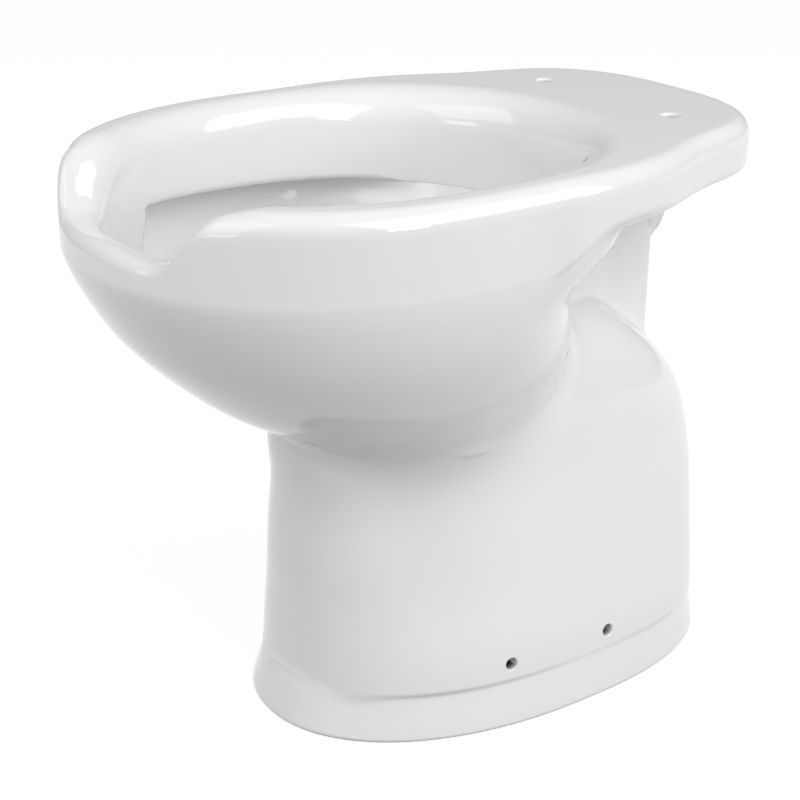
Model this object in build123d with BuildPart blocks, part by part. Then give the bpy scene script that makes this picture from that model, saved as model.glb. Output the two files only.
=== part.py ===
from build123d import *
from collections import namedtuple
import math
import os

# Floor-standing toilet pan for disabled access: an open-front bowl on a flared pedestal.
# Millimetres. +Z is up, the open front faces -Y, the origin is the middle of the footprint.

# Overall size
pan_width = 380
pan_length = 570
pan_height = 475
pan_front = -pan_length / 2
pan_back = pan_length / 2

# China thickness
wall = 12
top_wall = 14

# Levels, from the floor up
foot_top = 38
waist_level = 250
hump_top = 325
rim_under = 410
sill_top = 430
deck_under = 435

# Opening in the rim
opening_half_width = 147
opening_front = -257
opening_back = 125
opening_widest = -45
opening_front_radius = 108
opening_back_radius = 125

# Open front of the rim, seen from the front
notch_bottom_half = 74
notch_top_half = 112
notch_corner = 16

# Seat deck
seat_hole_spacing = 155
seat_hole_y = 196
seat_hole_radius = 7
top_edge_radius = 14
opening_edge_radius = 12

# Flush water inlet under the deck
horn_level = 380
horn_radius = 32
horn_bore_radius = 27.5
horn_root_y = 200
horn_end_y = 243
horn_mouth_radius = 3
neck_half_width = 38
neck_back = 225
neck_corner = 14
neck_foot = 262
neck_bore_radius = 25
riser_radius = 17
riser_y = 192
duct_half_width = 18
pipe_radius = 16
seal_length = 30
seal_flange = 3

# Row of small holes that let the flush water out of the rim
rim_hole_radius = 2.5
rim_hole_count = 26
rim_hole_offset = 20
rim_hole_front_y = -145

# Water trap
trap_radius = 40
trap_bore_radius = 31
trap_bend = 42
sump_outlet_level = 135
rising_leg_y = 116
falling_leg_y = rising_leg_y + 2 * trap_bend
crown_level = 215
outlet_level = 15

# Floor outlet seal
seal_thickness = 10
seal_bottom = 3
seal_top = 28

# Fixing holes through each side of the foot
fixing_radius = 5
fixing_level = 56
fixing_front_y = 13
fixing_back_y = 114

Oval = namedtuple("Oval", "level half_width front back widest front_radius back_radius")
Block = namedtuple("Block", "level half_width front back widest front_radius corner_radius")

# Rim and seat deck, seen from above. The rim's wall stands in a little from the deck's edge.
rim_step = 1
rim_oval = Oval(deck_under, pan_width / 2 - rim_step, pan_front + rim_step, 176, -60, 160, 150)
deck_taper_start = 54
deck_taper_radius = 330
deck_back_half_width = 112
deck_corner_radius = 55

# Outside of the bowl, from the rim down to the sump
bowl_outside = [
    Oval(rim_under, 187, -283, 174, -60, 158, 148),
    Oval(377, 181, -270, 160, -58, 152, 142),
    Oval(344, 169, -250, 140, -53, 142, 132),
    Oval(308, 148, -214, 113, -42, 125, 116),
    Oval(275, 120, -165, 88, -35, 102, 96),
    Oval(waist_level, 91, -114, 71, -21, 82, 80),
    Oval(222, 66, -78, 60, -8, 60, 60),
    Oval(190, 56, -62, 55, -3, 50, 50),
    Oval(150, 49, -52, 50, -1, 44, 44),
    Oval(110, 42, -44, 44, 0, 38, 38),
    Oval(90, 28, -30, 34, 2, 24, 24),
]
bowl_lift = 9
bowl_inset = 11

# Outside of the pedestal: the flared foot, then the skirt and the hump over the trap's crown
foot_outside = [
    Block(0, 134, -139, pan_back, 60, 116, 90),
    Block(26, 133, -138, pan_back - 1, 60, 115, 89),
    Block(foot_top, 129, -132, pan_back - 6, 60, 111, 85),
]
skirt_outside = [
    Block(20, 128, -124, 272, 60, 112, 85),
    Block(58, 127, -123, 272, 60, 111, 85),
    Block(160, 113, -121, 271, 60, 98, 80),
    Block(waist_level, 101, -119, 250, 60, 87, 75),
    Block(273, 95, -70, 238, 60, 82, 75),
    Block(300, 84, -30, 212, 70, 72, 70),
    Block(hump_top, 64, 0, 184, 80, 56, 55),
]
skirt_inside = [
    Block(-1, 117, -112, 260, 60, 101, 74),
    Block(58, 115, -110, 259, 60, 99, 74),
    Block(160, 101, -108, 258, 60, 86, 69),
    Block(220, 92, -100, 246, 60, 78, 66),
    Block(waist_level, 87, -60, 237, 60, 74, 64),
    Block(273, 80, -30, 223, 65, 68, 62),
    Block(296, 68, 0, 202, 75, 57, 56),
    Block(hump_top - wall, 52, 20, 182, 85, 44, 44),
]

os.makedirs("parts", exist_ok=True)


def oval_end(oval, tip, tip_radius):
    """Point on the +X side where the arc at the tip of an oval meets the arc of its side.

    The side arc is upright at the widest place and touches the tip arc, which fixes its radius.
    """
    width = oval.half_width
    inner = abs(tip - oval.widest) - tip_radius
    side_radius = (width**2 + inner**2 - tip_radius**2) / (2 * (width - tip_radius))
    scale = side_radius / (side_radius - tip_radius)
    joint_x = (width - side_radius) * (1 - scale)
    joint_y = oval.widest + math.copysign(inner * scale, tip - oval.widest)
    return (joint_x, joint_y), side_radius


def oval_face(oval):
    """Face inside an oval of eight tangent arcs, in the plane of the sketch it is added to."""
    front_joint, front_side_radius = oval_end(oval, oval.front, oval.front_radius)
    back_joint, back_side_radius = oval_end(oval, oval.back, oval.back_radius)
    side = (oval.half_width, oval.widest)
    with BuildSketch() as outline:
        with BuildLine():
            RadiusArc((0, oval.front), front_joint, -oval.front_radius)
            RadiusArc(front_joint, side, -front_side_radius)
            RadiusArc(side, back_joint, -back_side_radius)
            RadiusArc(back_joint, (0, oval.back), -oval.back_radius)
            mirror(about=Plane.YZ)
        make_face()
    return outline.sketch_local


def deck_face():
    """Face inside the top outline: the rim's round front, and a deck that tapers to the wall."""
    rim = rim_oval._replace(half_width=pan_width / 2, front=pan_front)
    front_joint, side_radius = oval_end(rim, rim.front, rim.front_radius)
    side = (rim.half_width, rim.widest)
    with BuildSketch() as outline:
        with BuildLine():
            RadiusArc((0, rim.front), front_joint, -rim.front_radius)
            RadiusArc(front_joint, side, -side_radius)
            FilletPolyline(
                side,
                (pan_width / 2, deck_taper_start),
                (deck_back_half_width, pan_back),
                (0, pan_back),
                radius=[deck_taper_radius, deck_corner_radius],
            )
            mirror(about=Plane.YZ)
        make_face()
    return outline.sketch_local


def block_face(block):
    """Face with a round front, straight sides and a flat back with rounded corners."""
    front_joint, side_radius = oval_end(block, block.front, block.front_radius)
    side = (block.half_width, block.widest)
    with BuildSketch() as outline:
        with BuildLine():
            RadiusArc((0, block.front), front_joint, -block.front_radius)
            RadiusArc(front_joint, side, -side_radius)
            FilletPolyline(
                side,
                (block.half_width, block.back),
                (0, block.back),
                radius=block.corner_radius,
            )
            mirror(about=Plane.YZ)
        make_face()
    return outline.sketch_local


def loft_stack(shapes, draw, ruled=False, mode=Mode.ADD):
    """Solid through a stack of ovals or blocks, each at its own level."""
    sections = []
    for shape in shapes:
        with BuildSketch(Plane.XY.offset(shape.level)) as section:
            add(draw(shape))
        sections.append(section.sketch)
    loft(sections, ruled=ruled, mode=mode)


def inset(oval, distance, lift=0):
    """The same oval drawn in by a distance all round, or let out where it is negative."""
    return oval._replace(
        level=oval.level + lift,
        half_width=oval.half_width - distance,
        front=oval.front + distance,
        back=oval.back - distance,
        front_radius=oval.front_radius - distance,
        back_radius=oval.back_radius - distance,
    )


opening = Oval(
    rim_under,
    opening_half_width,
    opening_front,
    opening_back,
    opening_widest,
    opening_front_radius,
    opening_back_radius,
)

# Solid form of the bowl's outside, which the neighbouring castings are fitted round
with BuildPart() as bowl_form:
    loft_stack(bowl_outside, oval_face)

# Solid form of the pedestal's outside
with BuildPart() as pedestal_form:
    loft_stack(foot_outside, block_face, ruled=True)
    loft_stack(skirt_outside, block_face, ruled=True)


def notch_face():
    """Open front of the rim as a face, wider at the top and rounded at its low corners."""
    slope = (notch_top_half - notch_bottom_half) / (pan_height - sill_top)
    over = 25
    high_half = notch_top_half + slope * over
    with BuildSketch() as notch:
        with BuildLine():
            Polyline(
                (-high_half, pan_height + over),
                (-notch_bottom_half, sill_top),
                (notch_bottom_half, sill_top),
                (high_half, pan_height + over),
                close=True,
            )
        make_face()
        fillet(notch.vertices().group_by(Axis.Y)[0], radius=notch_corner)
    return notch.sketch_local


# Rim: hollow box rim open at the front, with the seat deck behind
with BuildPart() as rim_casting:
    with BuildSketch(Plane.XY.offset(deck_under)):
        add(deck_face())
    extrude(amount=pan_height - deck_under)
    with BuildSketch(Plane.XY.offset(rim_under)):
        add(oval_face(rim_oval))
    extrude(amount=deck_under - rim_under)
    fillet(rim_casting.edges().group_by(Axis.Z)[-1], radius=top_edge_radius)
    with BuildSketch(Plane.XY.offset(rim_under)):
        add(oval_face(opening))
    extrude(amount=pan_height - rim_under, mode=Mode.SUBTRACT)
    top_face = rim_casting.faces().filter_by(Plane.XY).sort_by(Axis.Z)[-1]
    fillet(top_face.inner_wires()[0].edges(), radius=opening_edge_radius)

    # Water channel round the rim, closed each side of the open front
    with BuildSketch(Plane.XY.offset(rim_under + wall)):
        add(oval_face(inset(rim_oval, wall)))
        add(oval_face(inset(opening, -wall)), mode=Mode.SUBTRACT)
        with Locations((0, pan_front)):
            Rectangle(2 * (notch_top_half + wall), pan_length / 2, mode=Mode.SUBTRACT)
    extrude(amount=pan_height - top_wall - rim_under - wall, mode=Mode.SUBTRACT)

    # Hollow underside of the deck, round the block that brings the water in
    with BuildSketch(Plane.XY.offset(deck_under)):
        add(deck_face())
        offset(amount=-top_wall, kind=Kind.INTERSECTION)
        add(oval_face(rim_oval), mode=Mode.SUBTRACT)
        with Locations((0, neck_back - neck_half_width)):
            Rectangle(2 * neck_half_width, 2 * neck_half_width, mode=Mode.SUBTRACT)
    extrude(amount=pan_height - top_wall - deck_under, mode=Mode.SUBTRACT)
    with BuildSketch(Plane.XY.offset(deck_under + wall)):
        with Locations((0, opening_back + 2 * wall)):
            Rectangle(
                2 * duct_half_width,
                riser_y + riser_radius - opening_back - 2 * wall,
                align=(Align.CENTER, Align.MIN),
            )
    extrude(amount=pan_height - top_wall - deck_under - wall, mode=Mode.SUBTRACT)
    with BuildSketch(Plane.XY.offset(deck_under)):
        with Locations((0, riser_y)):
            Circle(riser_radius)
    extrude(amount=wall, mode=Mode.SUBTRACT)

    # Open front
    with BuildSketch(Plane.XZ.offset(-pan_front + wall)):
        add(notch_face())
    extrude(amount=-(pan_length / 3), mode=Mode.SUBTRACT)

    # Seat hinge holes
    with BuildSketch(Plane.XY.offset(deck_under)):
        with Locations((0, seat_hole_y)):
            with GridLocations(seat_hole_spacing, 0, 2, 1):
                Circle(seat_hole_radius)
    extrude(amount=pan_height - deck_under, mode=Mode.SUBTRACT)

    # Rim wash holes, spread along the middle of the channel floor
    wash_holes = []
    for step in range(rim_hole_count):
        turn = 2 * math.pi * (step + 0.5) / rim_hole_count
        tip = opening_back if math.cos(turn) > 0 else opening_front
        reach = abs(tip - opening_widest) + rim_hole_offset
        x = (opening_half_width + rim_hole_offset) * math.sin(turn)
        y = opening_widest + reach * math.cos(turn)
        if y > rim_hole_front_y:
            wash_holes.append((x, y))
    with BuildSketch(Plane.XY.offset(rim_under)):
        with Locations(*wash_holes):
            Circle(rim_hole_radius)
    extrude(amount=wall, mode=Mode.SUBTRACT)
rim_casting.part.label = "rim_casting"
export_step(rim_casting.part, "parts/rim_casting.step")

# Bowl: a single wall that follows the outside down to the sump
with BuildPart() as bowl:
    add(bowl_form.part)
    bowl_inside = [inset(oval, bowl_inset, bowl_lift) for oval in bowl_outside]
    loft_stack(bowl_inside, oval_face, mode=Mode.SUBTRACT)
    with BuildSketch(Plane.XZ.offset(-rising_leg_y)):
        with Locations((0, sump_outlet_level)):
            Circle(trap_bore_radius)
    extrude(amount=rising_leg_y, mode=Mode.SUBTRACT)
bowl.part.label = "bowl"
export_step(bowl.part, "parts/bowl.step")

# Pedestal: hollow skirt, open at the floor, fitted round the bowl
with BuildPart() as pedestal:
    add(pedestal_form.part)
    loft_stack(skirt_inside, block_face, ruled=True, mode=Mode.SUBTRACT)
    add(bowl_form.part, mode=Mode.SUBTRACT)
    with BuildSketch(Plane.YZ):
        with Locations((fixing_front_y, fixing_level), (fixing_back_y, fixing_level)):
            Circle(fixing_radius)
    extrude(amount=pan_width / 2, both=True, mode=Mode.SUBTRACT)
pedestal.part.label = "pedestal"
export_step(pedestal.part, "parts/pedestal.step")

# Trapway: from the sump, up over the crown and down to the floor
with BuildPart() as trapway:
    with BuildLine(Plane.YZ) as trap_path:
        Line((0, sump_outlet_level), (rising_leg_y - trap_bend, sump_outlet_level))
        JernArc(trap_path.line @ 1, trap_path.line % 1, radius=trap_bend, arc_size=90)
        Line(trap_path.line @ 1, (rising_leg_y, crown_level))
        JernArc((rising_leg_y, crown_level), (0, 1), radius=trap_bend, arc_size=-180)
        Line((falling_leg_y, crown_level), (falling_leg_y, outlet_level))
    with BuildSketch(Plane.XZ):
        with Locations((0, sump_outlet_level)):
            Circle(trap_radius)
            Circle(trap_bore_radius, mode=Mode.SUBTRACT)
    sweep(path=trap_path.line)
    add(bowl_form.part, mode=Mode.SUBTRACT)
trapway.part.label = "trapway"
export_step(trapway.part, "parts/trapway.step")

# Flush neck: the rib behind the bowl, with the passage from the horn up to the rim
with BuildPart() as flush_neck:
    with BuildSketch(Plane.XY.offset(neck_foot)) as neck_plan:
        with Locations((0, neck_back)):
            Rectangle(2 * neck_half_width, neck_back, align=(Align.CENTER, Align.MAX))
        fillet(neck_plan.vertices().group_by(Axis.Y)[-1], radius=neck_corner)
    extrude(amount=deck_under - neck_foot)
    add(bowl_form.part, mode=Mode.SUBTRACT)
    with BuildSketch(Plane.XY.offset(rim_under)):
        add(oval_face(rim_oval))
    extrude(amount=deck_under - rim_under, mode=Mode.SUBTRACT)
    add(pedestal_form.part, mode=Mode.SUBTRACT)
    with BuildSketch(Plane.XZ.offset(-neck_back)):
        with Locations((0, horn_level)):
            Circle(horn_radius)
    extrude(amount=neck_back - horn_root_y, mode=Mode.SUBTRACT)
    with BuildSketch(Plane.XZ.offset(-horn_root_y)):
        with Locations((0, horn_level)):
            Circle(neck_bore_radius)
    extrude(amount=horn_root_y - riser_y, mode=Mode.SUBTRACT)
    with BuildSketch(Plane.XY.offset(horn_level)):
        with Locations((0, riser_y)):
            Circle(riser_radius)
    extrude(amount=deck_under - horn_level, mode=Mode.SUBTRACT)
flush_neck.part.label = "flush_neck"
export_step(flush_neck.part, "parts/flush_neck.step")

# Inlet horn: round spigot set into the back of the neck
with BuildPart() as inlet_horn:
    with BuildSketch(Plane.XZ.offset(-horn_end_y)):
        with Locations((0, horn_level)):
            Circle(horn_radius)
            Circle(horn_bore_radius, mode=Mode.SUBTRACT)
    extrude(amount=horn_end_y - horn_root_y)
    horn_mouth = inlet_horn.edges().filter_by(GeomType.CIRCLE).group_by(Axis.Y)[-1]
    fillet(horn_mouth.sort_by(SortBy.RADIUS)[-1], radius=horn_mouth_radius)
inlet_horn.part.label = "inlet_horn"
export_step(inlet_horn.part, "parts/inlet_horn.step")

# Inlet seal: rubber bush in the horn, with a flange against its mouth
with BuildPart() as inlet_seal:
    with BuildSketch(Plane.XZ.offset(-horn_end_y)):
        with Locations((0, horn_level)):
            Circle(horn_bore_radius)
            Circle(pipe_radius, mode=Mode.SUBTRACT)
    extrude(amount=seal_length)
    with BuildSketch(Plane.XZ.offset(-horn_end_y - seal_flange)):
        with Locations((0, horn_level)):
            Circle(horn_radius - horn_mouth_radius)
            Circle(pipe_radius, mode=Mode.SUBTRACT)
    extrude(amount=seal_flange)
inlet_seal.part.label = "inlet_seal"
export_step(inlet_seal.part, "parts/inlet_seal.step")

# Outlet seal: rubber ring round the end of the falling leg
with BuildPart() as outlet_seal:
    with BuildSketch(Plane.XY.offset(seal_bottom)):
        with Locations((0, falling_leg_y)):
            Circle(trap_radius + seal_thickness)
            Circle(trap_radius, mode=Mode.SUBTRACT)
    extrude(amount=seal_top - seal_bottom)
outlet_seal.part.label = "outlet_seal"
export_step(outlet_seal.part, "parts/outlet_seal.step")
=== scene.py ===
import math

import bpy
import numpy as np
from mathutils import Matrix, Vector


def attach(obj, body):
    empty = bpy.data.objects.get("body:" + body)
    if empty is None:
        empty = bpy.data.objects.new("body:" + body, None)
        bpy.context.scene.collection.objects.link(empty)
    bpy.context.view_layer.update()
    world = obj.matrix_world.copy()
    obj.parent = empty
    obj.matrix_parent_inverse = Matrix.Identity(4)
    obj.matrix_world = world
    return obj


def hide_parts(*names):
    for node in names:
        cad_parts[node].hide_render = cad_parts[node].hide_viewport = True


bl_info = {
    "name": "Accessible toilet pan",
    "version": (1, 0, 0),
    "blender": (4, 5, 0),
    "location": "3D View > Sidebar > Toilet pan",
    "description": "Dresses a raised, open-front toilet pan in glazed china",
    "category": "Add Mesh",
}

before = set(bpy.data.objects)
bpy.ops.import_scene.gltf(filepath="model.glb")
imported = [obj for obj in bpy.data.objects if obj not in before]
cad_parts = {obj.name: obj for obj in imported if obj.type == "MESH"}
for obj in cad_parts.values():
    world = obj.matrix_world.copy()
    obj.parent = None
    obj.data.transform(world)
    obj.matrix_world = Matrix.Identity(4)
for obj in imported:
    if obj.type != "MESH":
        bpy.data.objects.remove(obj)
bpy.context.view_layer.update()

# The pan's own sizes, in millimetres. They are turned into metres when a mesh is written.
PAN_HEIGHT = 475.0
PAN_FRONT = -285.0
PAN_BACK = 285.0

# Seat deck and rim
SEAT_HOLE_X = 77.5
SEAT_HOLE_Y = 196.0
SEAT_HOLE_RADIUS = 7.0
DECK_UNDER = 435.0
DECK_TOP_WALL = 14.0
DECK_LIP = 14.0
SILL_LEVEL = 430.0
CHEEK_FOOT_X = 75.0
CHEEK_SLOPE = 1.8
LIP_FRONT = 418.0
LIP_FALL = 0.055

# Flush inlet
HORN_LEVEL = 380.0
HORN_RADIUS = 32.0
HORN_BORE = 27.5
HORN_ROOT_Y = 200.0
HORN_END_Y = 243.0
PIPE_RADIUS = 16.0
NECK_HALF_WIDTH = 38.0
NECK_BACK = 232.0
NECK_FLARE = 0.39
NECK_FLARE_Y = 176.0

# Fixing holes in the foot
FIXING_LEVEL = 56.0
FIXING_Y = (13.0, 114.0)
FIXING_RADIUS = 5.0
FLARE_START = 0.2

# Outlet
OUTLET_Y = 200.0
OUTLET_RADIUS = 40.0
SEAL_BOTTOM = 3.0
SEAL_TOP = 28.0
TRAP_MOUTH_LEVEL = 135.0

COLUMNS = 304


# Shapes worked out with numpy


def smooth_high(a, b, soft):
    """The larger of two values, with the corner between them rounded over a width called soft.

    Formula: the plain maximum plus soft / 4 times the square of how far the two are within
    soft of each other, so it rises smoothly where they cross.
    """
    near = np.clip(1.0 - np.abs(a - b) / soft, 0.0, 1.0)
    return np.maximum(a, b) + near * near * soft * 0.25


def smooth_low(a, b, soft):
    """The smaller of two values with a rounded corner: minus smooth_high of their negatives."""
    return -smooth_high(-a, -b, soft)


def ease(value, start, end):
    """A smooth rise from 0 at start to 1 at end: three t squared minus two t cubed."""
    t = np.clip((value - start) / (end - start), 0.0, 1.0)
    return t * t * (3.0 - 2.0 * t)


def bell(value, middle, width):
    """A bump of height 1 at middle: e to the minus of the square of the distance over width."""
    return np.exp(-(((value - middle) / width) ** 2))


def through(levels, values, at):
    """A smooth curve through measured values: the natural cubic spline, held level past its ends.

    Formula: each stretch is a cubic, and the second slopes are the answer of the usual
    three-diagonal set of equations, with no bend at either end.
    """
    x = np.asarray(levels, float)
    y = np.asarray(values, float)
    order = np.argsort(x)
    x, y = x[order], y[order]
    h = np.diff(x)
    n = len(x)
    m = np.eye(n)
    rhs = np.zeros(n)
    inner = np.arange(1, n - 1)
    m[inner, inner - 1] = h[:-1]
    m[inner, inner] = 2.0 * (h[:-1] + h[1:])
    m[inner, inner + 1] = h[1:]
    rhs[1:-1] = 6.0 * (np.diff(y)[1:] / h[1:] - np.diff(y)[:-1] / h[:-1])
    bend = np.linalg.solve(m, rhs)
    q = np.clip(at, x[0], x[-1])
    k = np.clip(np.searchsorted(x, q) - 1, 0, n - 2)
    a = (x[k + 1] - q) / h[k]
    b = (q - x[k]) / h[k]
    cubic = ((a**3 - a) * bend[k] + (b**3 - b) * bend[k + 1]) * h[k] ** 2 / 6.0
    return a * y[k] + b * y[k + 1] + cubic


def reach(side, along, half, front, back, middle, power_front, power_back):
    """How far a ray from the pan's axis goes before it leaves a rounded outline.

    side and along are the ray's direction. Formula of the outline: x over the half width to a
    power, plus y from the middle over the length of that end to the same power, is one. The
    crossing is found by halving a range forty times, for all rays at once.
    """
    low = np.zeros(np.broadcast(side, half).shape)
    high = low + 420.0
    for _ in range(40):
        r = (low + high) * 0.5
        x = np.abs(r * side) / half
        y = r * along - middle
        behind = y > 0.0
        power = np.where(behind, power_back, power_front)
        end = np.where(behind, back - middle, middle - front)
        inside = x**power + (np.abs(y) / end) ** power < 1.0
        low = np.where(inside, r, low)
        high = np.where(inside, high, r)
    return low


def column_angles():
    """Directions of the columns round the pan's axis, closer together where the shape is finer.

    Formula: angles at equal steps of the running sum of a density, which is 1 plus bumps at the
    cheeks of the open front, at the ends of the recess under the rim and at the neck's sides.
    Angle 0 points to the front and half a turn points to the back.
    """
    fine = np.linspace(0.0, math.pi, 4001)
    deg = np.degrees(fine)
    density = 1.0 + 2.6 * bell(deg, 20.0, 6.5) + 3.2 * bell(deg, 34.8, 3.0)
    density += 2.6 * bell(deg, 169.0, 3.4) + 0.7 * bell(deg, 150.0, 12.0)
    run = np.concatenate([[0.0], np.cumsum((density[1:] + density[:-1]) * 0.5)])
    half = COLUMNS // 2
    one_side = np.interp(np.linspace(0.0, run[-1], half + 1), run, fine)
    return np.concatenate([one_side[:-1], 2.0 * math.pi - one_side[:0:-1]])


# Outside of the bowl: level, half width, front, back, widest place
BOWL_SECTIONS = np.array([
    (475, 190, -279, 180, -60),
    (440, 189.5, -280, 174, -60),
    (408, 187, -281.5, 157, -60),
    (396, 185.4, -277.4, 131, -59.5),
    (385, 183.3, -272.4, 107, -58.7),
    (372, 180.2, -265.2, 95, -57.5),
    (360, 176.6, -258.1, 97, -56.1),
    (342, 169.6, -245.4, 105, -52.5),
    (320, 158.3, -224.8, 112, -45.7),
    (300, 145.8, -203, 110, -39.9),
    (275, 126, -168, 91, -33),
    (250, 99, -120, 72, -22),
    (222, 70, -80, 61, -9),
    (190, 57, -63, 56, -3),
    (150, 50, -53, 51, -1),
    (110, 43, -45, 45, 0),
], float)

# Outside of the pedestal and of the hump over the trap: level, half width, front, back, middle
STAND_SECTIONS = np.array([
    (0, 130, -126, 273, 81),
    (58, 129, -123, 272, 81),
    (110, 120.5, -121.5, 272, 81),
    (160, 113, -121, 271, 81),
    (205, 106.5, -120, 264, 80),
    (250, 101, -119, 243, 78),
    (273, 95, -100, 222, 74),
    (300, 84, -60, 188, 66),
    (325, 64, -20, 154, 58),
    (344, 38, -10, 124, 50),
], float)

# Inside of the pedestal, from below: level, half width, front, back, middle
HOLLOW_SECTIONS = np.array([
    (0, 117, -112, 260, 81),
    (58, 115, -110, 259, 81),
    (160, 101, -108, 258, 81),
    (220, 92, -100, 246, 80),
    (250, 86, -70, 236, 76),
    (273, 79, -30, 222, 70),
    (296, 67, -10, 200, 62),
    (313, 50, -5, 180, 58),
], float)


def bowl_reach(side, along, level, inset=0.0, lift=0.0):
    """Distance to the bowl's outline at a level, or to the same outline drawn in by a wall."""
    z = level - lift
    half, front, back, middle = (
        through(BOWL_SECTIONS[:, 0], BOWL_SECTIONS[:, k], z) for k in range(1, 5)
    )
    return reach(
        side, along, half - inset, front + inset, back - inset, middle, 2.14, 2.12
    )


def stand_reach(side, along, level, sections=STAND_SECTIONS):
    """Distance to the pedestal's outline at a level; zero above the top of the hump."""
    half, front, back, middle = (
        through(sections[:, 0], sections[:, k], level) for k in range(1, 5)
    )
    r = reach(side, along, half, front, back, middle, 2.4, 3.05)
    return r * (1.0 - ease(level, sections[-1, 0] - 2.0, sections[-1, 0] + 10.0))


def neck_reach(side, along, level):
    """Distance to the box-like rib behind the bowl, which flares out towards the bowl.

    Formula: an outline of power 9, so nearly square, whose half width grows by two fifths of the
    way in front of the flare's edge.
    """
    low = np.zeros(np.broadcast(side, level).shape)
    high = low + 420.0
    for _ in range(40):
        r = (low + high) * 0.5
        y = r * along
        flare = NECK_FLARE * (NECK_FLARE_Y - y)
        half = NECK_HALF_WIDTH + smooth_high(flare, 0.0 * flare, 2.0)
        end = np.where(y > 80.0, NECK_BACK - 80.0, 120.0)
        inside = np.abs(r * side / half) ** 9.0 + np.abs((y - 80.0) / end) ** 9.0 < 1.0
        low = np.where(inside, r, low)
        high = np.where(inside, high, r)
    return low * ease(level, 225.0, 250.0)


def skin_reach(side, along, level):
    """The outside of the bowl, pedestal and neck as one skin.

    Formula: the rounded maximum of the three outlines. The rounding is small at the front, where
    the bowl meets the pedestal in a crisp line, wide at the sides and less so at the back.
    """
    round_by = np.degrees(np.arccos(np.clip(-along, -1.0, 1.0)))
    soft = 34.0 + 46.0 * bell(round_by, 80.0, 38.0) - 8.0 * bell(round_by, 0.0, 30.0)
    stand = stand_reach(side, along, level)
    bowl = bowl_reach(side, along, level)
    neck = neck_reach(side, along, level)
    body = smooth_high(bowl, stand, soft)
    return smooth_high(body, neck, 12.0)


def foot_reach(side, along):
    """Distance to the flared foot's outline on the floor."""
    return reach(side, along, 134.0, -139.0, 285.0, 81.0, 2.14, 2.59)


def deck_reach(side, along):
    """Distance to the top outline: the round front, and the deck that tapers to the wall.

    Formula: a rounded outline of power 2.22 in front and 2.82 behind, whose half width is drawn
    in by a tenth round the shoulder, as a bell along the length.
    """
    low = np.zeros(np.shape(side))
    high = low + 420.0
    for _ in range(40):
        r = (low + high) * 0.5
        y = r * along
        half = 190.0 * (1.0 - 0.106 * np.exp(-(((y - 179.0) / 68.0) ** 2)))
        behind = y > -60.0
        power = np.where(behind, 2.82, 2.22)
        end = np.where(behind, PAN_BACK + 60.0, 219.0)
        inside = np.abs(r * side / half) ** power + (np.abs(y + 60.0) / end) ** power < 1.0
        low = np.where(inside, r, low)
        high = np.where(inside, high, r)
    return low


def rim_top(x, y):
    """Height of the rim's top: level, and stepped down to the sill across the open front.

    Formula: the rounded minimum of the full height and of the rounded maximum of the sill and of
    a line that climbs the cheek.
    """
    sill = SILL_LEVEL + 2.5 * bell(x, 0.0, 40.0)
    cheek = SILL_LEVEL + CHEEK_SLOPE * (np.abs(x) - CHEEK_FOOT_X)
    stepped = smooth_low(smooth_high(cheek, sill, 22.0), np.full_like(x, PAN_HEIGHT), 22.0)
    return np.where(y < -100.0, stepped, PAN_HEIGHT)


def rounded_path(corners, radii, straight, bend):
    """Points down a path whose corners are rounded, for every column at once.

    corners has one row of (r, z) pairs for each corner. Formula: a rounded corner leaves one leg
    and joins the next at the radius times the tangent of half the turn, never past 48 per cent
    of a leg, on the cubic curve that follows a round arc. Between corners the points stand
    evenly. straight gives the steps on each leg and bend the steps on each corner.
    """
    corners = np.stack([np.stack(pair, axis=-1) for pair in corners])
    legs = np.diff(corners, axis=0)
    length = np.maximum(np.linalg.norm(legs, axis=2), 1e-6)
    unit = legs / length[..., None]
    rows = []
    start = corners[0]
    for k in range(len(legs)):
        last = k == len(legs) - 1
        if last:
            finish = corners[-1]
        else:
            cos_turn = np.clip(np.sum(unit[k] * unit[k + 1], axis=1), -0.999, 1.0)
            half_tan = np.sqrt((1.0 - cos_turn) / (1.0 + cos_turn))
            cut = radii[k + 1] * half_tan
            cut = np.minimum(cut, 0.48 * np.minimum(length[k], length[k + 1]))[:, None]
            finish = corners[k + 1] - unit[k] * cut
        t = np.linspace(0.0, 1.0, straight[k] + 1)[: straight[k] + last, None, None]
        rows.append(start + (finish - start) * t)
        if last:
            break
        after = corners[k + 1] + unit[k + 1] * cut
        turn = 2.0 * np.arctan(half_tan)
        handle = 4.0 / 3.0 * np.tan(turn / 4.0) / np.maximum(half_tan, 1e-4)
        handle = np.clip(handle, 0.0, 0.67)[:, None]
        first = finish + (corners[k + 1] - finish) * handle
        second = after + (corners[k + 1] - after) * handle
        t = np.linspace(0.0, 1.0, bend[k + 1] + 1)[:-1, None, None]
        u = 1.0 - t
        rows.append(
            finish * u**3 + 3.0 * first * t * u**2 + 3.0 * second * t**2 * u + after * t**3
        )
        start = after
    return np.concatenate(rows)


def make_mesh(name, points, faces, smooth=True, layers=None):
    """A mesh object from whole arrays: points in millimetres, faces as rows of four or three."""
    mesh = bpy.data.meshes.new(name)
    mesh.from_pydata((np.asarray(points) * 0.001).tolist(), [], [f.tolist() for f in faces])
    mesh.polygons.foreach_set("use_smooth", np.full(len(mesh.polygons), smooth))
    for key, values in (layers or {}).items():
        layer = mesh.attributes.new(key, "FLOAT", "POINT")
        layer.data.foreach_set("value", np.asarray(values, np.float32))
    mesh.validate()
    mesh.update()
    piece = bpy.data.objects.new(name, mesh)
    bpy.context.scene.collection.objects.link(piece)
    return piece


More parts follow.
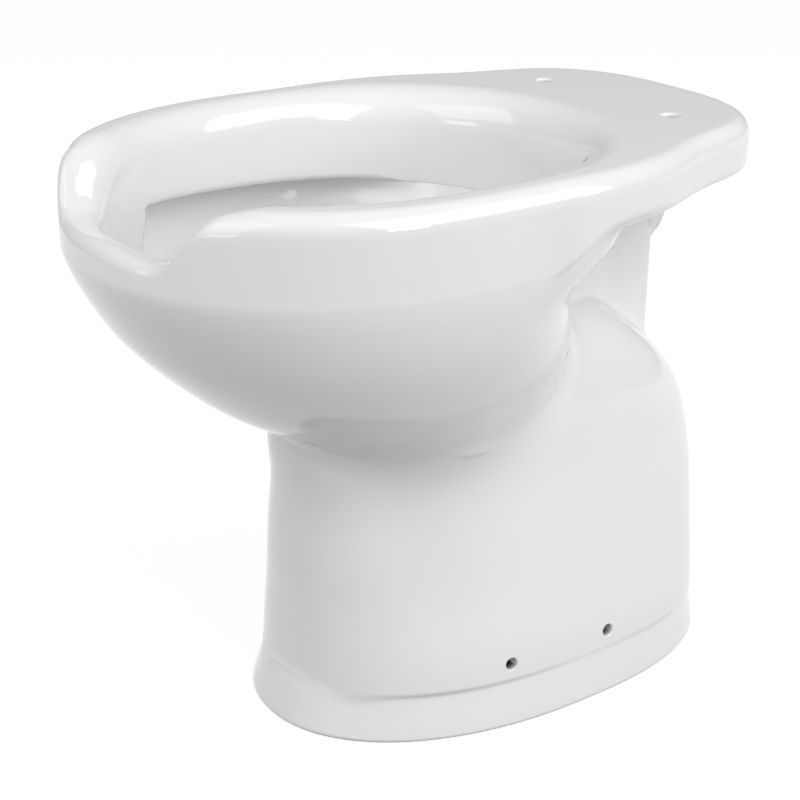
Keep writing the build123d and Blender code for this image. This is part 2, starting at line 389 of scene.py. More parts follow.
def grid_faces(rows, columns, offset=0):
    """Faces of a grid that closes on itself round the columns, as rows of four point numbers."""
    i, j = np.meshgrid(np.arange(rows - 1), np.arange(columns), indexing="ij")
    a = i * columns + j
    b = i * columns + (j + 1) % columns
    quads = np.stack([a, b, b + columns, a + columns], axis=-1).reshape(-1, 4)
    return quads + offset


def spun(profile, centre, axis, count=96, squash=None):
    """Points and faces of a closed profile turned round an axis through centre.

    Formula: each (radius, along) pair of the profile becomes a ring of count points at that
    radius round the axis and that distance along it.
    """
    profile = np.asarray(profile, float)
    turn = np.linspace(0.0, 2.0 * math.pi, count, endpoint=False)
    axis = np.asarray(axis, float)
    first = np.cross(axis, (1.0, 0.0, 0.0)) if abs(axis[0]) < 0.9 else np.cross(axis, (0, 1, 0))
    first /= np.linalg.norm(first)
    second = np.cross(axis, first)
    ring = np.cos(turn)[:, None] * first + np.sin(turn)[:, None] * second
    points = (
        np.asarray(centre, float)
        + profile[:, 0][:, None, None] * ring[None]
        + profile[:, 1][:, None, None] * axis
    )
    rows = len(profile)
    closed = np.concatenate([points, points[:1]]).reshape(-1, 3)
    faces = grid_faces(rows + 1, count) % (rows * count)
    return closed[: rows * count], faces


def face_outwards(piece):
    """Merges double points, then turns all faces of a closed piece outwards."""
    import bmesh

    work = bmesh.new()
    work.from_mesh(piece.data)
    bmesh.ops.remove_doubles(work, verts=work.verts, dist=1e-6)
    bmesh.ops.recalc_face_normals(work, faces=work.faces)
    work.to_mesh(piece.data)
    work.free()
    piece.data.update()


def mix(a, b, share):
    """A blend of two values: a where share is 0 and b where it is 1."""
    return a + (b - a) * share


def spread(low, high, count, middle, width, extra):
    """Values from low to high, closer together round middle: equal steps of a running density."""
    fine = np.linspace(0.0, 1.0, 801)
    density = 1.0 + extra * bell(low + (high - low) * fine, middle, width)
    run = np.concatenate([[0.0], np.cumsum((density[1:] + density[:-1]) * 0.5)])
    return np.interp(np.linspace(0.0, run[-1], count), run, fine)


def china_surface():
    """The whole pan as one closed surface of two parameters: the angle round the upright axis,
    and the way along the section: up the basin, over the rim, down the outside to the foot, up
    inside the pedestal, and down the bowl's underside.

    Returns the points as (row, column, xyz) and, for each row, how bare of glaze it is.
    """
    angle = column_angles()
    side, along = np.sin(angle), -np.cos(angle)
    ones = np.ones_like(angle)
    degrees = np.degrees(np.minimum(angle, 2.0 * math.pi - angle))
    rows, bare = [], []

    def keep(pairs, bareness):
        rows.append(pairs)
        bare.append(np.full(len(pairs), float(bareness)))

    top = deck_reach(side, along)
    opening = reach(side, along, 146.0, -257.0, 125.0, -42.0, 2.15, 2.12)
    height_out = rim_top(top * side, top * along)
    height_in = rim_top(opening * side, opening * along)
    back_y = top * along

    # basin, from the sump's floor up to the recess under the rim
    levels = np.concatenate([
        99.0 + 4.0 * np.linspace(0.0, 1.0, 5)[1:] ** 2,
        np.linspace(106.0, 152.0, 9),
        np.linspace(159.0, 250.0, 12),
        np.linspace(257.0, 397.0, 24),
    ])
    lip = LIP_FRONT - LIP_FALL * (opening * along - PAN_FRONT)
    level = levels[:, None] + (lip - 12.0 - 397.0) * ease(levels[:, None], 300.0, 397.0)
    inner = bowl_reach(side, along, level, 11.0, 9.0 * (1.0 - ease(level, 330.0, 375.0)))
    rise = np.clip((level - 99.0) / 14.0, 0.0, 1.0)
    inner *= np.sqrt(np.clip(1.0 - (1.0 - rise) ** 2, 0.0, 1.0))
    inner += 32.0 * bell(degrees, 180.0, 30.0) * bell(level, TRAP_MOUTH_LEVEL, 20.0)
    slant = 3.2 * np.clip((lip - level) / 50.0, 0.0, 1.0)
    recess = ease(degrees + slant, 34.3, 36.7)
    inner = mix(np.minimum(inner, opening - 4.0), inner, recess)
    keep(np.stack([inner, level], axis=-1), 0)

    recess = recess[-1]
    # recess, lip, inner wall, crowned top, outer edge, deck side, underside with its pockets
    root = inner[-1]
    edge_z = 434.0 - 24.0 * (1.0 - ease(back_y, -15.0, 45.0))
    edge_share = ease(back_y, -20.0, 20.0)
    under = ease(back_y, 55.0, 125.0)
    pocket = ease(back_y, 105.0, 150.0)
    z6, z7, z8 = (
        mix(edge_z - 6.0 * step, edge_z - 0.5 * step, under) for step in (1.0, 2.0, 3.0)
    )
    z7 = mix(z7, PAN_HEIGHT - DECK_TOP_WALL, pocket)
    z8 = mix(z8, PAN_HEIGHT - DECK_TOP_WALL, pocket)
    z9 = edge_z - 30.0
    skin5, skin6, skin7, skin8, skin9 = (
        skin_reach(side, along, z) for z in (edge_z, z6, z7, z8, z9)
    )
    r5 = mix(skin5, top - 0.5, edge_share)
    r8 = mix(skin8, skin8 + 3.0, pocket)
    r6 = mix(skin6, mix(mix(r5, skin8, 0.33), top - DECK_LIP, pocket), under)
    r7 = mix(skin7, mix(mix(r5, skin8, 0.66), top - DECK_LIP - 1.0, pocket), under)
    edge_round = 15.0 + 3.0 * bell(degrees, 20.0, 9.0)
    below_round = mix(30.0, 9.0, under)
    path = rounded_path(
        [
            (root, level[-1]),
            (np.maximum(root, opening - 5.0), lip),
            (opening - 6.0 + 1.5 * (1.0 - recess), lip),
            (opening, height_in),
            (top, height_out),
            (r5, edge_z),
            (r6, z6),
            (r7, z7),
            (r8, z8),
            (skin9, z9),
        ],
        [0.0, 8.0, 5.0, 30.0, edge_round, mix(30.0, 6.0, under), 5.0, 5.0, below_round, 0.0],
        [2, 4, 10, 18, 8, 2, 2, 5, 4],
        [0, 4, 5, 9, 9, 6, 3, 3, 6, 0],
    )
    keep(path[1:], 0)

    # outside skin down to the foot
    fraction = spread(z9.min(), 58.0, 64, 252.0, 26.0, 2.2)[1:, None]
    level = z9 + (58.0 - z9) * fraction
    keep(np.stack([skin_reach(side, along, level), level], axis=-1), 0)

    # ledge, flared foot and the bare ring that stands on the floor
    foot = foot_reach(side, along)
    ring = stand_reach(side, along, 0.0 * ones, HOLLOW_SECTIONS)
    start = stand_reach(side, along, 30.0 * ones, HOLLOW_SECTIONS)
    ledge = skin_reach(side, along, 42.0 * ones)
    soft = 1.0 - ease(degrees, 24.0, 54.0)
    path = rounded_path(
        [
            (rows[-1][-1, :, 0], 58.0 * ones),
            (ledge, 42.5 - 2.0 * soft),
            (foot - 5.0 - 2.0 * soft, 39.0 - 9.0 * soft),
            (foot + 2.0, 0.0 * ones),
            (ring, 0.0 * ones),
            (start, 30.0 * ones),
        ],
        [0.0, 5.0 + 25.0 * soft, 13.0 + 17.0 * soft, 3.5, 3.0, 0.0],
        [4, 3, 5, 3, 2],
        [0, 4, 6, 4, 3, 0],
    )
    keep(path[1:], 0)
    bare[-1][:] = np.where(path[1:, 0, 1] < 2.5, 1.0, bare[-1])
    bare[-1][-6:] = 1.0

    # inside of the pedestal, its ceiling, and the bowl's underside down to the sump
    scan = np.linspace(200.0, 313.0, 114)[:, None] * ones
    gap = stand_reach(side, along, scan, HOLLOW_SECTIONS) - bowl_reach(side, along, scan)
    ceiling = 200.0 + np.sum(gap > 5.0, axis=0) * (113.0 / 114.0)
    level = 30.0 + (ceiling - 10.0 - 30.0) * np.linspace(0.0, 1.0, 18)[1:, None]
    keep(np.stack([stand_reach(side, along, level, HOLLOW_SECTIONS), level], axis=-1), 1)
    wall = stand_reach(side, along, np.minimum(ceiling, 312.0), HOLLOW_SECTIONS)
    path = rounded_path(
        [
            (rows[-1][-1, :, 0], ceiling - 10.0),
            (wall, ceiling),
            (bowl_reach(side, along, ceiling) + 1.0, ceiling),
            (bowl_reach(side, along, ceiling - 16.0), ceiling - 16.0),
        ],
        [0.0, 6.0, 8.0, 0.0],
        [1, 5, 1],
        [0, 3, 3, 0],
    )
    keep(path[1:], 1)
    level = mix(ceiling - 16.0, 90.1 * ones, 1.0 - (1.0 - np.linspace(0.0, 1.0, 26)[1:, None]) ** 1.6)
    under_bowl = bowl_reach(side, along, np.maximum(level, 110.0))
    rise = np.clip((level - 90.0) / 20.0, 0.0, 1.0)
    under_bowl *= np.sqrt(np.clip(1.0 - (1.0 - rise) ** 2, 0.0, 1.0))
    under_bowl += 32.0 * bell(degrees, 180.0, 42.0) * bell(level, TRAP_MOUTH_LEVEL, 27.0)
    keep(np.stack([under_bowl, level], axis=-1), 1)

    section = np.concatenate(rows)
    points = np.stack(
        [section[..., 0] * side, section[..., 0] * along, section[..., 1]], axis=-1
    )
    return points, np.concatenate(bare)


def build_china(name):
    """The pan's mesh: the surface's grid, closed by a fan of triangles at each of its two poles."""
    points, bare = china_surface()
    rows, columns = points.shape[:2]
    ring = np.arange(columns)
    after = (ring + 1) % columns
    poles = np.array([(0.0, 0.0, 99.0), (0.0, 0.0, 90.0)])
    first = rows * columns
    fan_in = np.stack([np.full(columns, first), after, ring], axis=-1)
    last = (rows - 1) * columns
    fan_under = np.stack([np.full(columns, first + 1), last + ring, last + after], axis=-1)
    everything = np.concatenate([points.reshape(-1, 3), poles])
    faces = [*grid_faces(rows, columns), *fan_in, *fan_under]
    bareness = np.concatenate([np.repeat(bare, columns), [0.0, 1.0]])
    return make_mesh(name, everything, faces, layers={"bare": bareness})


def cut_away(piece, cutter):
    """Takes the cutter's volume out of a closed piece, and deletes the cutter."""
    step = piece.modifiers.new("holes", "BOOLEAN")
    step.operation = "DIFFERENCE"
    step.solver = "MANIFOLD"
    step.object = cutter
    ready = piece.evaluated_get(bpy.context.evaluated_depsgraph_get())
    cut = bpy.data.meshes.new_from_object(ready)
    piece.modifiers.clear()
    before = piece.data
    piece.data = cut
    cut.name = before.name
    bpy.data.meshes.remove(before)
    bpy.data.objects.remove(cutter)


def hole_profile(radius, edge, depth, over=0.5):
    """Section of a drill with a flared end: most of a quarter arc, then a straight side.

    Rows are (radius, along), with the surface at along 0 and the far end at minus depth. The arc
    of radius edge starts where it slopes by a fifth, and runs on above the surface at that slope.
    """
    turn = np.linspace(FLARE_START, math.pi / 2.0, 8)
    drop = math.cos(FLARE_START) - np.cos(turn)
    arc = np.stack([radius + edge * (1.0 - np.sin(turn)), -edge * drop], axis=-1)
    outer = arc[0, 0] + over / math.tan(FLARE_START)
    head = [(0.05, over), (outer, over)]
    return np.concatenate([head, arc, [(radius, -depth), (0.05, -depth)]])


def ring_solid(name, profiles, centres, axes, count=48):
    """One mesh of closed turned shapes, each a profile spun round its own centre and axis."""
    points, faces, offset = [], [], 0
    for profile, centre, axis in zip(profiles, centres, axes):
        p, f = spun(profile, centre, axis, count)
        points.append(p)
        faces.extend(f + offset)
        offset += len(p)
    piece = make_mesh(name, np.concatenate(points), faces)
    face_outwards(piece)
    return piece


# Finishes


def new_group(name, inputs, outputs):
    """An empty shader node group with named number inputs and named outputs."""
    group = bpy.data.node_groups.new(name, "ShaderNodeTree")
    for label, kind, value in inputs:
        socket = group.interface.new_socket(label, in_out="INPUT", socket_type=kind)
        socket.default_value = value
    for label, kind in outputs:
        group.interface.new_socket(label, in_out="OUTPUT", socket_type=kind)
    return group, group.nodes.new("NodeGroupInput"), group.nodes.new("NodeGroupOutput")


def noise_node(nodes, links, coordinate, scale, detail, roughness=0.5):
    """A noise texture on object coordinates; scale is a socket or a number, per metre."""
    node = nodes.new("ShaderNodeTexNoise")
    links.new(coordinate, node.inputs["Vector"])
    if isinstance(scale, (int, float)):
        node.inputs["Scale"].default_value = scale
    else:
        links.new(scale, node.inputs["Scale"])
    node.inputs["Detail"].default_value = detail
    node.inputs["Roughness"].default_value = roughness
    return node


def math_node(nodes, links, operation, first, second):
    """A Math node with each side a socket or a number."""
    node = nodes.new("ShaderNodeMath")
    node.operation = operation
    for k, value in enumerate((first, second)):
        if isinstance(value, (int, float)):
            node.inputs[k].default_value = value
        else:
            links.new(value, node.inputs[k])
    return node.outputs[0]


def blend_node(nodes, links, factor, first, second):
    """A colour Mix node; each colour is a socket or an RGB triple."""
    node = nodes.new("ShaderNodeMix")
    node.data_type = "RGBA"
    links.new(factor, node.inputs["Factor"])
    for k, value in ((6, first), (7, second)):
        if isinstance(value, tuple):
            node.inputs[k].default_value = (*value, 1.0)
        else:
            links.new(value, node.inputs[k])
    return node.outputs[2]


def fired_surface_group():
    """Slow waves and faint mottling, as a fired or moulded surface has them.

    Outputs: Height for a Bump node, and Mottle, a mask from 0 to 1 for colour and roughness.
    """
    if "Fired surface" in bpy.data.node_groups:
        return bpy.data.node_groups["Fired surface"]
    group, source, sink = new_group(
        "Fired surface",
        [
            ("Wave Scale", "NodeSocketFloat", 14.0),
            ("Grain Scale", "NodeSocketFloat", 260.0),
            ("Grain Amount", "NodeSocketFloat", 0.15),
        ],
        [("Height", "NodeSocketFloat"), ("Mottle", "NodeSocketFloat")],
    )
    nodes, links = group.nodes, group.links
    place = nodes.new("ShaderNodeTexCoord").outputs["Object"]
    waves = noise_node(nodes, links, place, source.outputs["Wave Scale"], 2.0)
    grain = noise_node(nodes, links, place, source.outputs["Grain Scale"], 3.0, 0.6)
    fine = math_node(nodes, links, "MULTIPLY", grain.outputs["Fac"], source.outputs["Grain Amount"])
    height = math_node(nodes, links, "ADD", waves.outputs["Fac"], fine)
    mottle = noise_node(nodes, links, place, 9.0, 4.0, 0.55)
    links.new(height, sink.inputs["Height"])
    links.new(mottle.outputs["Fac"], sink.inputs["Mottle"])
    return group


def dust_group():
    """Fine dust that lies on surfaces that face up and in the grain: a mask from 0 to 1."""
    if "Settled dust" in bpy.data.node_groups:
        return bpy.data.node_groups["Settled dust"]
    group, source, sink = new_group(
        "Settled dust",
        [("Amount", "NodeSocketFloat", 0.2), ("Speck Scale", "NodeSocketFloat", 500.0)],
        [("Mask", "NodeSocketFloat")],
    )
    nodes, links = group.nodes, group.links
    place = nodes.new("ShaderNodeTexCoord").outputs["Object"]
    split = nodes.new("ShaderNodeSeparateXYZ")
    links.new(nodes.new("ShaderNodeNewGeometry").outputs["Normal"], split.inputs[0])
    upward = nodes.new("ShaderNodeMapRange")
    upward.inputs["From Min"].default_value = 0.0
    upward.inputs["From Max"].default_value = 1.0
    links.new(split.outputs["Z"], upward.inputs["Value"])
    speck = noise_node(nodes, links, place, source.outputs["Speck Scale"], 4.0, 0.7)
    cloud = noise_node(nodes, links, place, 22.0, 3.0, 0.5)
    both = math_node(nodes, links, "MULTIPLY", speck.outputs["Fac"], cloud.outputs["Fac"])
    lying = math_node(nodes, links, "MULTIPLY", both, upward.outputs[0])
    links.new(
        math_node(nodes, links, "MULTIPLY", lying, source.outputs["Amount"]), sink.inputs["Mask"]
    )
    return group


def new_material(name):
    """A material with its node tree, its shader and its links at hand."""
    material = bpy.data.materials.new(name)
    material.use_nodes = True
    tree = material.node_tree
    return material, tree.nodes, tree.links, tree.nodes["Principled BSDF"]


def place_group(nodes, group, **values):
    """A node group set into a material with its own values."""
    node = nodes.new("ShaderNodeGroup")
    node.node_tree = group
    for key, value in values.items():
        node.inputs[key.replace("_", " ")].default_value = value
    return node


def add_bump(nodes, links, height, shader, strength, distance):
    """A Bump node between a height and the shader's normal."""
    bump = nodes.new("ShaderNodeBump")
    bump.inputs["Strength"].default_value = strength
    bump.inputs["Distance"].default_value = distance
    links.new(height, bump.inputs["Height"])
    links.new(bump.outputs["Normal"], shader.inputs["Normal"])
    return bump


def glazed_china(settings):
    """White glazed china: a clear wavy gloss over a faintly mottled white, and a bare biscuit body
    where the attribute called bare is 1, inside the pedestal and on the ring that it stands on.
    """
    material, nodes, links, shader = new_material("Glazed china")
    surface = place_group(
        nodes, fired_surface_group(), Wave_Scale=11.0, Grain_Scale=420.0, Grain_Amount=0.02
    )
    white = tuple(settings.glaze_colour)
    deeper = tuple(c * 0.965 for c in white)
    glaze = blend_node(nodes, links, surface.outputs["Mottle"], deeper, white)
    bare = nodes.new("ShaderNodeAttribute")
    bare.attribute_name = "bare"
    body = blend_node(
        nodes, links, surface.outputs["Mottle"], (0.60, 0.555, 0.49), (0.70, 0.66, 0.60)
    )
    links.new(blend_node(nodes, links, bare.outputs["Fac"], glaze, body), shader.inputs["Base Color"])
    gloss = nodes.new("ShaderNodeMapRange")
    gloss.inputs["To Min"].default_value = settings.gloss_roughness
    gloss.inputs["To Max"].default_value = 0.75
    links.new(bare.outputs["Fac"], gloss.inputs["Value"])
    links.new(gloss.outputs[0], shader.inputs["Roughness"])
    coat = math_node(nodes, links, "SUBTRACT", 1.0, bare.outputs["Fac"])
    links.new(math_node(nodes, links, "MULTIPLY", coat, 0.35), shader.inputs["Coat Weight"])
    shader.inputs["Coat Roughness"].default_value = 0.03
    shader.inputs["IOR"].default_value = 1.52
    add_bump(nodes, links, surface.outputs["Height"], shader, 0.5, 0.0006)
    return material


def seal_rubber(settings):
    """Black moulded rubber: matt, finely grained, with a little dust where it faces up."""
    material, nodes, links, shader = new_material("Seal rubber")
    surface = place_group(
        nodes, fired_surface_group(), Wave_Scale=60.0, Grain_Scale=900.0, Grain_Amount=0.8
    )
    dust = place_group(nodes, dust_group(), Amount=0.5, Speck_Scale=700.0)
    black = tuple(settings.rubber_colour)
    tone = blend_node(
        nodes, links, surface.outputs["Mottle"], tuple(c * 0.75 for c in black), black
    )
    links.new(
        blend_node(nodes, links, dust.outputs["Mask"], tone, (0.42, 0.40, 0.37)),
        shader.inputs["Base Color"],
    )
    rough = nodes.new("ShaderNodeMapRange")
    rough.inputs["To Min"].default_value = 0.5
    rough.inputs["To Max"].default_value = 0.68
    links.new(surface.outputs["Mottle"], rough.inputs["Value"])
    links.new(rough.outputs[0], shader.inputs["Roughness"])
    add_bump(nodes, links, surface.outputs["Height"], shader, 0.3, 0.0003)
    return material


def biscuit_china(settings):
    """The trap's unglazed outside: warm, matt and finely pitted, with dust on top."""
    material, nodes, links, shader = new_material("Biscuit china")
    surface = place_group(
        nodes, fired_surface_group(), Wave_Scale=35.0, Grain_Scale=650.0, Grain_Amount=0.6
    )
    dust = place_group(nodes, dust_group(), Amount=0.6, Speck_Scale=400.0)
    body = blend_node(
        nodes, links, surface.outputs["Mottle"], (0.58, 0.535, 0.47), (0.68, 0.64, 0.58)
    )
    links.new(
        blend_node(nodes, links, dust.outputs["Mask"], body, (0.5, 0.48, 0.45)),
        shader.inputs["Base Color"],
    )
    shader.inputs["Roughness"].default_value = 0.8
    add_bump(nodes, links, surface.outputs["Height"], shader, 0.5, 0.0004)
    return material


def studio_floor(settings):
    """Near-white floor: a plain matt sheet, lifted to white for the camera and for reflections."""
    material, nodes, links, shader = new_material("Studio floor")
    sheet = noise_node(
        nodes, links, nodes.new("ShaderNodeTexCoord").outputs["Object"], 3.0, 2.0
    )
    shade = settings.floor_shade
    links.new(
        blend_node(
            nodes, links, sheet.outputs["Fac"], (shade * 0.985,) * 3, (shade,) * 3
        ),
        shader.inputs["Base Color"],
    )
    shader.inputs["Roughness"].default_value = 0.9
    shader.inputs["Specular IOR Level"].default_value = 0.1
    path = nodes.new("ShaderNodeLightPath")
    seen = math_node(
        nodes, links, "MAXIMUM", path.outputs["Is Camera Ray"], path.outputs["Is Glossy Ray"]
    )
    shader.inputs["Emission Color"].default_value = (1.0, 1.0, 1.0, 1.0)
    links.new(
        math_node(nodes, links, "MULTIPLY", seen, settings.floor_lift),
        shader.inputs["Emission Strength"],
    )
    return material


def paint(piece, material):
    """Puts one material on a piece in place of what it had."""
    piece.data.materials.clear()
    piece.data.materials.append(material)


def finish_for(key, settings):
    """The finish with that name, made once."""
    makers = {
        "Glazed china": glazed_china,
        "Seal rubber": seal_rubber,
        "Biscuit china": biscuit_china,
        "Studio floor": studio_floor,
    }
    return bpy.data.materials.get(key) or makers[key](settings)


# Settings


class PanSettings(bpy.types.PropertyGroup):
    """Sizes and colours of the pan."""

    seat_hole_radius: bpy.props.FloatProperty(
        name="Seat hole radius",
        description="Radius of the two seat hinge holes",
        default=0.007,
        subtype="DISTANCE",
        unit="LENGTH",
    )
    fixing_radius: bpy.props.FloatProperty(
        name="Fixing hole radius",
        description="Radius of the four fixing holes in the foot",
        default=0.005,
        subtype="DISTANCE",
        unit="LENGTH",
    )
    hole_edge: bpy.props.FloatProperty(
        name="Hole edge",
        description="Rounding of the glaze where a hole begins",
        default=0.0025,
        subtype="DISTANCE",
        unit="LENGTH",
    )
    glaze_colour: bpy.props.FloatVectorProperty(
        name="Glaze colour",
        description="White of the glazed china",
        default=(0.855, 0.86, 0.86),
        subtype="COLOR",
        size=3,
    )
    rubber_colour: bpy.props.FloatVectorProperty(
        name="Rubber colour",
        description="Black of the rubber seals",
        default=(0.03, 0.03, 0.032),
        subtype="COLOR",
        size=3,
    )
    gloss_roughness: bpy.props.FloatProperty(
        name="Gloss roughness",
        description="Roughness of the glaze",
        default=0.06,
        min=0.0,
        max=1.0,
        subtype="FACTOR",
    )


class StudioSettings(bpy.types.PropertyGroup):
    """Floor, light and camera."""

    floor_shade: bpy.props.FloatProperty(
        name="Floor shade",
        description="Brightness of the pale floor",
        default=0.26,
        min=0.0,
        max=1.0,
        subtype="FACTOR",
    )
    floor_lift: bpy.props.FloatProperty(
        name="Floor lift",
        description="Light that the floor adds for the camera and for reflections only",
        default=0.83,
        min=0.0,
        max=1.0,
    )
    sky_strength: bpy.props.FloatProperty(
        name="Surroundings",
        description="Strength of the even light from all round",
        default=0.46,
        min=0.0,
    )
    key_power: bpy.props.FloatProperty(
        name="Key light",
        description="Power of the large softbox at the right",
        default=55.0,
        min=0.0,
        unit="POWER",
    )
    window_power: bpy.props.FloatProperty(
        name="Window light",
        description="Power of the window-like light at the right; the one in front has two thirds",
        default=6.5,
        min=0.0,
        unit="POWER",
    )


# Operators


class PAN_OT_china(bpy.types.Operator):
    """Make the glazed china body with its seat holes and fixing holes"""

    bl_idname = "pan.china"
    bl_label = "China body"

    def execute(self, context):
        pan = context.scene.toilet_pan
        body = build_china("china_body")
        seat_r = pan.seat_hole_radius * 1000.0
        fix_r = pan.fixing_radius * 1000.0
        edge = pan.hole_edge * 1000.0
        seat = hole_profile(seat_r, edge, 40.0)
        profiles = [seat, seat]
        centres = [(x, SEAT_HOLE_Y, PAN_HEIGHT) for x in (-SEAT_HOLE_X, SEAT_HOLE_X)]
        axes = [(0.0, 0.0, 1.0)] * 2
        for sign in (-1.0, 1.0):
            for y in FIXING_Y:
                reach_x = wall_at(y, FIXING_LEVEL)
                tilt = wall_normal(y, FIXING_LEVEL)
                profiles.append(hole_profile(fix_r, edge * 0.8, 34.0))
                centres.append((sign * reach_x, y, FIXING_LEVEL))
                axes.append((sign * tilt[0], tilt[1], tilt[2]))
        cutter = ring_solid("drills", profiles, centres, axes, 40)
        cut_away(body, cutter)
        even = body.modifiers.new("even_shading", "WEIGHTED_NORMAL")
        even.mode = "FACE_AREA_WITH_ANGLE"
        even.weight = 60
        paint(body, finish_for("Glazed china", pan))
        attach(body, "root")
        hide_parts("rim_casting", "bowl", "pedestal", "flush_neck")
        return {"FINISHED"}


def wall_at(y, level):
    """Half width of the outside skin at a place along the pan and a level, by halving a range."""
    low, high = 40.0, 200.0
    for _ in range(30):
        x = (low + high) * 0.5
        r = math.hypot(x, y)
        here = skin_reach(np.array([x / r]), np.array([y / r]), np.array([level]))[0]
        low, high = (x, high) if here > r else (low, x)
    return low


def wall_normal(y, level):
    """Direction in which the outside skin faces there, from its slopes along and up."""
    along = (wall_at(y + 2.0, level) - wall_at(y - 2.0, level)) / 4.0
    up = (wall_at(y, level + 4.0) - wall_at(y, level - 4.0)) / 8.0
    way = np.array([1.0, -along, -up])
    return way / np.linalg.norm(way)


class PAN_OT_inlet(bpy.types.Operator):
    """Make the flush inlet: the china horn and the rubber bush in it"""

    bl_idname = "pan.inlet"
    bl_label = "Flush inlet"

    def execute(self, context):
        pan = context.scene.toilet_pan
        centre, axis = (0.0, 0.0, HORN_LEVEL), (0.0, 1.0, 0.0)
        end = HORN_END_Y
        lip = np.linspace(0.0, math.pi, 9)
        mouth = np.stack(
            [29.75 - 2.25 * -np.cos(lip) * -1.0, end - 2.25 + 2.25 * np.sin(lip)], axis=-1
        )
        turn = np.linspace(0.0, math.pi / 2.0, 8)
        root = np.stack(
            [HORN_RADIUS + 5.0 * (1.0 - np.sin(turn)), NECK_BACK + 5.0 * (1.0 - np.cos(turn))],
            axis=-1,
        )
        profile = np.concatenate([
            [(HORN_BORE, HORN_ROOT_Y), (HORN_RADIUS, HORN_ROOT_Y), (HORN_RADIUS + 5.0, 222.0)],
            root,
            mouth[::-1] if mouth[0, 0] < mouth[-1, 0] else mouth,
            [(HORN_BORE, end - 8.0)],
        ])
        horn = ring_solid("flush_horn", [profile], [centre], [axis], 96)
        paint(horn, finish_for("Glazed china", pan))
        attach(horn, "root")
        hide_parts("inlet_horn")

        ribs = np.array([
            (PIPE_RADIUS, end - 30.0), (HORN_BORE - 1.5, end - 30.0), (HORN_BORE, end - 27.0),
            (HORN_BORE - 1.2, end - 23.0), (HORN_BORE, end - 19.0), (HORN_BORE - 1.2, end - 15.0),
            (HORN_BORE, end - 11.0), (HORN_BORE, end + 0.2), (28.4, end + 0.3),
            (29.0, end + 0.9), (29.0, end + 2.2), (28.2, end + 3.0), (18.0, end + 3.0),
            (PIPE_RADIUS + 0.6, end + 2.4), (PIPE_RADIUS, end + 1.0),
        ])
        bush = ring_solid("inlet_bush", [ribs], [centre], [axis], 96)
        paint(bush, finish_for("Seal rubber", pan))
        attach(bush, "root")
        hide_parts("inlet_seal")
        return {"FINISHED"}


class PAN_OT_outlet(bpy.types.Operator):
    """Finish the trap and make the rubber ring round the floor outlet"""

    bl_idname = "pan.outlet"
    bl_label = "Trap and outlet ring"

    def execute(self, context):
        pan = context.scene.toilet_pan
        paint(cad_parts["trapway"], finish_for("Biscuit china", pan))
        level = np.linspace(SEAL_BOTTOM, SEAL_TOP, 61)
        fins = 50.0 - 2.4 * (0.5 - 0.5 * np.cos((level - SEAL_BOTTOM) / 25.0 * 8.0 * math.pi))
        profile = np.concatenate([
            np.stack([fins, level], axis=-1),
            [(48.0, SEAL_TOP), (OUTLET_RADIUS + 1.0, SEAL_TOP), (OUTLET_RADIUS, SEAL_TOP - 1.0)],
            [(OUTLET_RADIUS, SEAL_BOTTOM + 1.0), (OUTLET_RADIUS + 1.0, SEAL_BOTTOM)],
        ])
        ring = ring_solid(
            "outlet_ring", [profile], [(0.0, OUTLET_Y, 0.0)], [(0.0, 0.0, 1.0)], 96
        )
        paint(ring, finish_for("Seal rubber", pan))
        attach(ring, "root")
        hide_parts("outlet_seal")
        return {"FINISHED"}


CAMERA_PLACE = (1.0609, -0.7845, 0.7985)
CAMERA_TURN = 0.941
CAMERA_DOWN = 0.395
CAMERA_ROLL = 0.011
FOCAL_SHARE = 1745.7 / 800.0


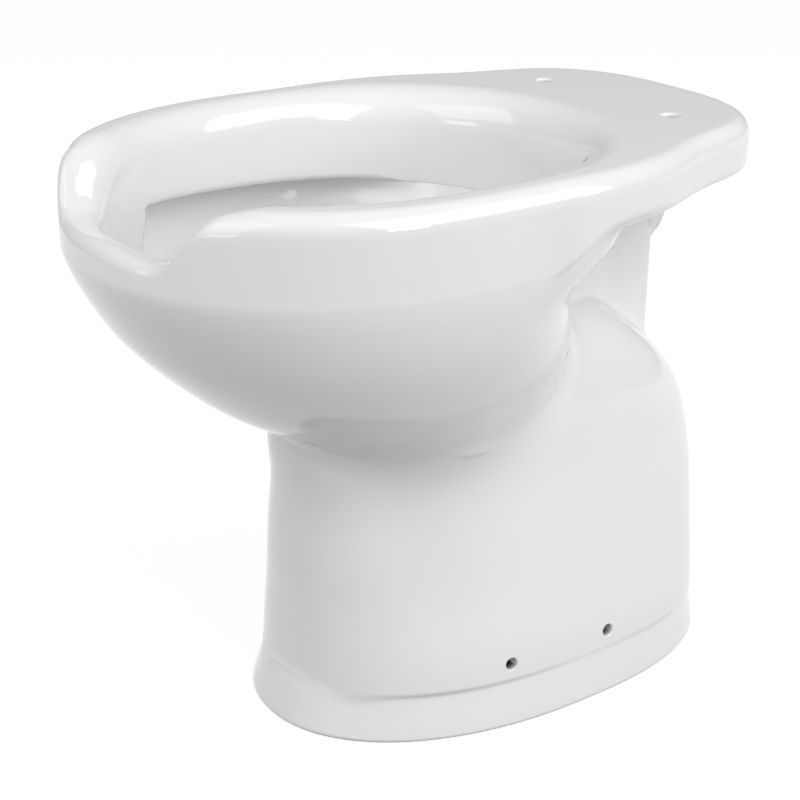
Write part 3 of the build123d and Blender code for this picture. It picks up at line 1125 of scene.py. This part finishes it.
class PAN_OT_studio(bpy.types.Operator):
    """Make the pale floor, the soft lights, the surroundings and the camera"""

    bl_idname = "pan.studio"
    bl_label = "Studio"

    def execute(self, context):
        studio = context.scene.pan_studio
        u, v = np.meshgrid(np.linspace(-1.0, 1.0, 9), np.linspace(-1.0, 1.0, 9), indexing="ij")
        points = np.stack([u * 9000.0, v * 9000.0, 0.0 * u - 0.4], axis=-1).reshape(-1, 3)
        i, j = np.meshgrid(np.arange(8), np.arange(8), indexing="ij")
        a = (i * 9 + j).ravel()
        floor = make_mesh("studio_floor", points, list(np.stack([a, a + 9, a + 10, a + 1], axis=-1)))
        paint(floor, finish_for("Studio floor", studio))

        middle = (0.0, 0.0, 0.3)
        self.area("key_softbox", (2.25, 0.9, 2.05), middle, (3.0, 2.4), studio.key_power)
        self.area("fill_softbox", (-0.1, -2.4, 2.45), middle, (3.2, 2.4), studio.key_power * 0.62)
        rim = (0.0, 0.0, 0.45)
        self.area("window_right", (2.75, 0.15, 0.8), rim, (0.7, 0.45), studio.window_power)
        self.area("window_front", (0.55, -2.65, 0.8), rim, (1.1, 0.45), studio.window_power * 0.65)

        world = bpy.data.worlds.new("Surroundings")
        world.use_nodes = True
        nodes, links = world.node_tree.nodes, world.node_tree.links
        path = nodes.new("ShaderNodeLightPath")
        back = nodes["Background"]
        back.inputs["Color"].default_value = (1.0, 1.0, 1.0, 1.0)
        strength = math_node(
            nodes,
            links,
            "ADD",
            math_node(
                nodes, links, "MULTIPLY", path.outputs["Is Camera Ray"], 1.0 - studio.sky_strength
            ),
            studio.sky_strength,
        )
        links.new(strength, back.inputs["Strength"])
        context.scene.world = world

        forward = Vector((
            -math.sin(CAMERA_TURN) * math.cos(CAMERA_DOWN),
            math.cos(CAMERA_TURN) * math.cos(CAMERA_DOWN),
            -math.sin(CAMERA_DOWN),
        ))
        right = Vector((math.cos(CAMERA_TURN), math.sin(CAMERA_TURN), 0.0))
        upward = right.cross(forward)
        rolled = Matrix.Rotation(-CAMERA_ROLL, 3, forward)
        right, upward = rolled @ right, rolled @ upward
        pose = Matrix((right, upward, -forward)).transposed().to_4x4()
        pose.translation = Vector(CAMERA_PLACE)
        camera = bpy.data.cameras.new("photo_camera")
        camera.sensor_fit = "HORIZONTAL"
        camera.sensor_width = 36.0
        camera.lens = 36.0 * FOCAL_SHARE
        camera.clip_end = 50.0
        holder = bpy.data.objects.new("photo_camera", camera)
        holder.matrix_world = pose
        context.scene.collection.objects.link(holder)
        context.scene.camera = holder
        context.scene.view_settings.view_transform = "Standard"
        return {"FINISHED"}

    def area(self, name, place, target, size, power):
        """A rectangular area light that faces a target."""
        light = bpy.data.lights.new(name, "AREA")
        light.shape = "RECTANGLE"
        light.size, light.size_y = size
        light.energy = power
        holder = bpy.data.objects.new(name, light)
        way = Vector(target) - Vector(place)
        holder.matrix_world = Matrix.Translation(place) @ way.to_track_quat("-Z", "Y").to_matrix().to_4x4()
        bpy.context.scene.collection.objects.link(holder)


class PAN_PT_tools(bpy.types.Panel):
    """Lists the pieces that can be made and the values they are made with"""

    bl_label = "Toilet pan"
    bl_idname = "PAN_PT_tools"
    bl_space_type = "VIEW_3D"
    bl_region_type = "UI"
    bl_category = "Toilet pan"

    def draw(self, context):
        layout = self.layout
        for group in (context.scene.toilet_pan, context.scene.pan_studio):
            box = layout.box()
            for key in group.__annotations__:
                box.prop(group, key)
        for operator in OPERATORS:
            layout.operator(operator.bl_idname)


OPERATORS = (PAN_OT_china, PAN_OT_inlet, PAN_OT_outlet, PAN_OT_studio)
CLASSES = (PanSettings, StudioSettings, *OPERATORS, PAN_PT_tools)


def register():
    for cls in CLASSES:
        bpy.utils.register_class(cls)
    bpy.types.Scene.toilet_pan = bpy.props.PointerProperty(type=PanSettings)
    bpy.types.Scene.pan_studio = bpy.props.PointerProperty(type=StudioSettings)


def unregister():
    del bpy.types.Scene.pan_studio
    del bpy.types.Scene.toilet_pan
    for cls in reversed(CLASSES):
        bpy.utils.unregister_class(cls)


def main():
    """Registers the add-on's classes, and makes every piece and the stage."""
    register()
    bpy.ops.pan.china()
    bpy.ops.pan.inlet()
    bpy.ops.pan.outlet()
    bpy.ops.pan.studio()
    bpy.context.view_layer.update()


if __name__ == "__main__":
    main()
